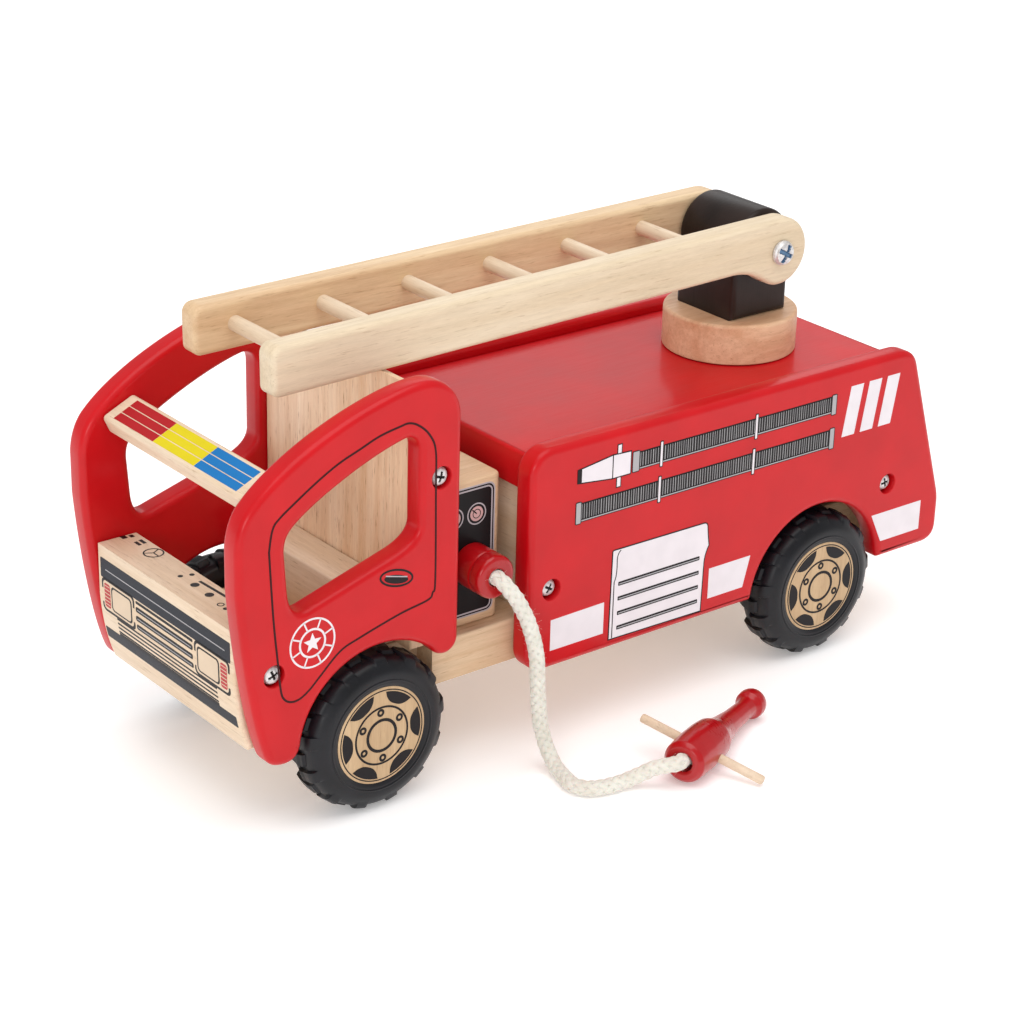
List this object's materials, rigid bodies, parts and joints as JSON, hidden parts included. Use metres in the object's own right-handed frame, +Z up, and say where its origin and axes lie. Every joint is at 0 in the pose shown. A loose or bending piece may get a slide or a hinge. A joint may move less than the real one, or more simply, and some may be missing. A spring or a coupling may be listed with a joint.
{
  "type": "toy fire engine",
  "caption": "Wooden push-along toy fire engine with a swivelling, tilting ladder, rolling rubber-tyred wheels and a rope hose with a turned nozzle.",
  "frame": {"origin": "centre of the chassis board's flat underside, on the centre plane, midway between the two axles; the ground is 36.3 mm below", "axes": "+X towards the nose, +Y to the engine's left, +Z up"},
  "size_m": [0.3485, 0.1891, 0.181],
  "materials": {
    "red_paint": "gloss paint on wood",
    "bare_wood": "bare, lightly lacquered",
    "dark_wood": "black-brown stain, satin",
    "tyre_rubber": "matt moulded rubber",
    "cotton_rope": "braided cotton",
    "zinc_steel": "bright zinc plate"
  },
  "bodies": {
    "chassis": {"chassis_board": "bare_wood", "grille_block": "bare_wood", "cab_back_wall": "bare_wood", "seat_board": "bare_wood", "light_bar": "bare_wood", "bulkhead": "bare_wood", "rear_wall": "bare_wood", "pump_block": "bare_wood", "roof_board": "red_paint", "hose_outlet": "red_paint", "cab_side_left": "red_paint", "body_side_left": "red_paint", "screw_cab_upper_left": "zinc_steel", "screw_cab_front_left": "zinc_steel", "screw_body_front_left": "zinc_steel", "screw_body_rear_left": "zinc_steel", "cab_side_right": "red_paint", "body_side_right": "red_paint", "screw_cab_upper_right": "zinc_steel", "screw_cab_front_right": "zinc_steel", "screw_body_front_right": "zinc_steel", "screw_body_rear_right": "zinc_steel", "front_axle_block": "bare_wood", "rear_axle_block": "bare_wood", "hose_stub": "cotton_rope"},
    "turntable": {"turntable_disc": "bare_wood", "turret_block": "dark_wood", "turntable_screw": "zinc_steel", "turntable_washer": "zinc_steel", "ladder_pivot_bolt": "zinc_steel", "ladder_pivot_washer": "zinc_steel", "ladder_pivot_nut": "zinc_steel"},
    "ladder": {"ladder_rail_left": "bare_wood", "ladder_rail_right": "bare_wood", "ladder_rung_1": "bare_wood", "ladder_rung_2": "bare_wood", "ladder_rung_3": "bare_wood", "ladder_rung_4": "bare_wood", "ladder_rung_5": "bare_wood", "ladder_rung_6": "bare_wood"},
    "front_wheels": {"front_axle": "bare_wood", "tyre_front_left": "tyre_rubber", "hub_front_left": "bare_wood", "tyre_front_right": "tyre_rubber", "hub_front_right": "bare_wood"},
    "rear_wheels": {"rear_axle": "bare_wood", "tyre_rear_left": "tyre_rubber", "hub_rear_left": "bare_wood", "tyre_rear_right": "tyre_rubber", "hub_rear_right": "bare_wood"},
    "hose_upper": {"hose_drop": "cotton_rope"},
    "hose_lower": {"hose_floor": "cotton_rope"},
    "nozzle_body": {"nozzle": "red_paint", "nozzle_cross_pin": "bare_wood", "hose_end": "cotton_rope"}
  },
  "joints": [
    {"name": "turntable_swivel", "type": "hinge", "parent": "chassis", "child": "turntable", "pos_m": [-0.1065, 0, 0.0917], "axis": [0, 0, 1], "continuous": true},
    {"name": "ladder_tilt", "type": "hinge", "parent": "turntable", "child": "ladder", "pos_m": [-0.1065, 0, 0.1297], "axis": [0, -1, 0], "range_deg": [0, 90]},
    {"name": "front_wheels_roll", "type": "hinge", "parent": "chassis", "child": "front_wheels", "pos_m": [0.11, 0, -0.0053], "axis": [0, 1, 0], "continuous": true},
    {"name": "rear_wheels_roll", "type": "hinge", "parent": "chassis", "child": "rear_wheels", "pos_m": [-0.11, 0, -0.0053], "axis": [0, 1, 0], "continuous": true},
    {"name": "hose_lift", "type": "hinge", "parent": "chassis", "child": "hose_upper", "pos_m": [0.0575, 0.06, 0.0427], "axis": [1, 0, 0], "range_deg": [0, 50]},
    {"name": "hose_sweep", "type": "hinge", "parent": "hose_upper", "child": "hose_lower", "pos_m": [0.0434, 0.0844, -0.0332], "axis": [0, 0, 1], "range_deg": [-30, 15]},
    {"name": "nozzle_turn", "type": "hinge", "parent": "hose_lower", "child": "nozzle_body", "pos_m": [0.011, 0.1109, -0.0254], "axis": [0, 0, 1], "range_deg": [-40, 0]}
  ]
}
